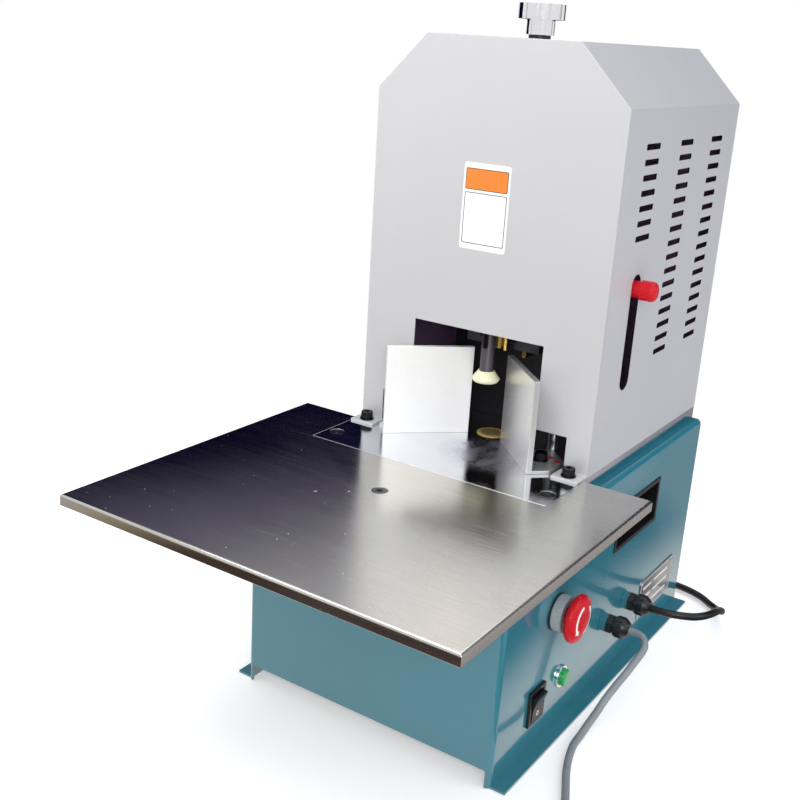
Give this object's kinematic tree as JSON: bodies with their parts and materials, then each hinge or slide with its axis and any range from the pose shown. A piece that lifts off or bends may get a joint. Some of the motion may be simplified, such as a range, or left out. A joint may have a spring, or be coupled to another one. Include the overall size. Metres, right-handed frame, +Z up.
{
  "type": "corner rounding machine",
  "caption": "Bench machine that rounds the corners of a paper stack: a motor drives a gouge blade down behind two fences while a hand lever lowers a presser.",
  "frame": {"origin": "on the bench, under the middle of the machine's own box without its leads", "axes": "+Z up, -Y towards the operator and the paper table, +X towards the switches"},
  "size_m": [0.4542, 0.6731, 0.575],
  "materials": {
    "teal_enamel": "gloss enamel",
    "grey_enamel": "satin powder coat",
    "stainless": "brushed and scratched",
    "ground_steel": "ground",
    "bright_steel": "turned",
    "black_steel": "black oxide",
    "machine_iron": "dark paint",
    "bronze": "machined",
    "coated_blade": "gold coated",
    "chrome": "polished",
    "cream_plastic": "moulded",
    "pad_plastic": "cut nylon",
    "red_plastic": "moulded",
    "green_plastic": "moulded",
    "grey_plastic": "ribbed",
    "black_plastic": "moulded",
    "beige_plastic": "moulded",
    "gear_housing": "cast",
    "motor_paint": "dark enamel",
    "black_cord": "satin",
    "grey_cord": "satin"
  },
  "bodies": {
    "frame": {"base_shell": "teal_enamel", "rear_panel": "teal_enamel", "cover_screws": "bright_steel", "table_top": "stainless", "table_frame": "machine_iron", "countersunk_screws": "bright_steel", "cutter_bed": "stainless", "cutting_pad": "pad_plastic", "fence_left": "ground_steel", "fence_right": "ground_steel", "cap_screws": "black_steel", "hood_wrap": "grey_enamel", "hood_front": "grey_enamel", "hood_back": "grey_enamel", "column_plate": "machine_iron", "slide_cheeks": "machine_iron", "keeper_plates": "bright_steel", "gib_strips": "bronze", "top_bracket": "machine_iron", "frame_screws": "black_steel", "gearbox": "gear_housing", "motor": "motor_paint", "shaft_bearing": "bright_steel", "presser_guide": "bright_steel", "return_spring": "bright_steel", "knob_collar": "black_plastic", "estop_collar": "grey_plastic", "estop_block": "black_plastic", "start_bezel": "chrome", "rocker_frame": "black_plastic", "hand_holds": "black_plastic", "control_unit": "beige_plastic", "gland_bodies": "black_plastic", "gland_nuts": "black_plastic", "mains_lead": "black_cord", "mains_coil": "black_cord", "mains_tie": "black_plastic", "mains_plug": "black_plastic", "switch_lead": "grey_cord", "switch_coil": "grey_cord", "switch_tie": "black_plastic", "switch_connector": "black_plastic"},
    "ram": {"ram_bar": "bright_steel", "ram_rack": "bright_steel", "holder_studs": "black_steel", "blade_holder": "black_steel", "blade": "coated_blade"},
    "pinion": {"drive_pinion": "bright_steel"},
    "presser": {"presser_carriage": "bright_steel", "carriage_bush": "bronze", "clamp_pin": "bright_steel", "presser_tube": "bright_steel", "presser_foot": "cream_plastic", "lever_stub": "bright_steel", "lever_grip": "red_plastic"},
    "knob": {"adjusting_knob": "chrome", "adjusting_rod": "bright_steel"},
    "estop": {"estop_head": "red_plastic"},
    "start": {"start_button": "green_plastic"},
    "rocker": {"rocker": "black_plastic"}
  },
  "joints": [
    {"name": "ram_slide", "type": "slide", "parent": "frame", "child": "ram", "axis": [0, 0, 1], "range_m": [-0.078, 0]},
    {"name": "pinion_turn", "type": "hinge", "parent": "frame", "child": "pinion", "pos_m": [-0.034, 0.1, 0.3598], "axis": [0, 1, 0], "range_deg": [0, 223.5]},
    {"name": "presser_slide", "type": "slide", "parent": "frame", "child": "presser", "axis": [0, 0, 1], "range_m": [-0.052, 0], "stiffness_N_per_m": 300, "springref_m": 0.045, "deforming": ["return_spring"]},
    {"name": "knob_turn", "type": "hinge", "parent": "frame", "child": "knob", "pos_m": [0, 0.084, 0.56], "axis": [0, 0, 1], "range_deg": [-360, 360]},
    {"name": "estop_push", "type": "slide", "parent": "frame", "child": "estop", "axis": [-1, 0, 0], "range_m": [0, 0.004]},
    {"name": "start_push", "type": "slide", "parent": "frame", "child": "start", "axis": [-1, 0, 0], "range_m": [0, 0.003], "stiffness_N_per_m": 400, "springref_m": -0.002},
    {"name": "rocker_tilt", "type": "hinge", "parent": "frame", "child": "rocker", "pos_m": [0.122, -0.053, 0.042], "axis": [0, -1, 0], "range_deg": [0, 20]}
  ],
  "couplings": [
    {"joint": "pinion_turn", "follows": "ram_slide", "rad_per_m": -50}
  ]
}
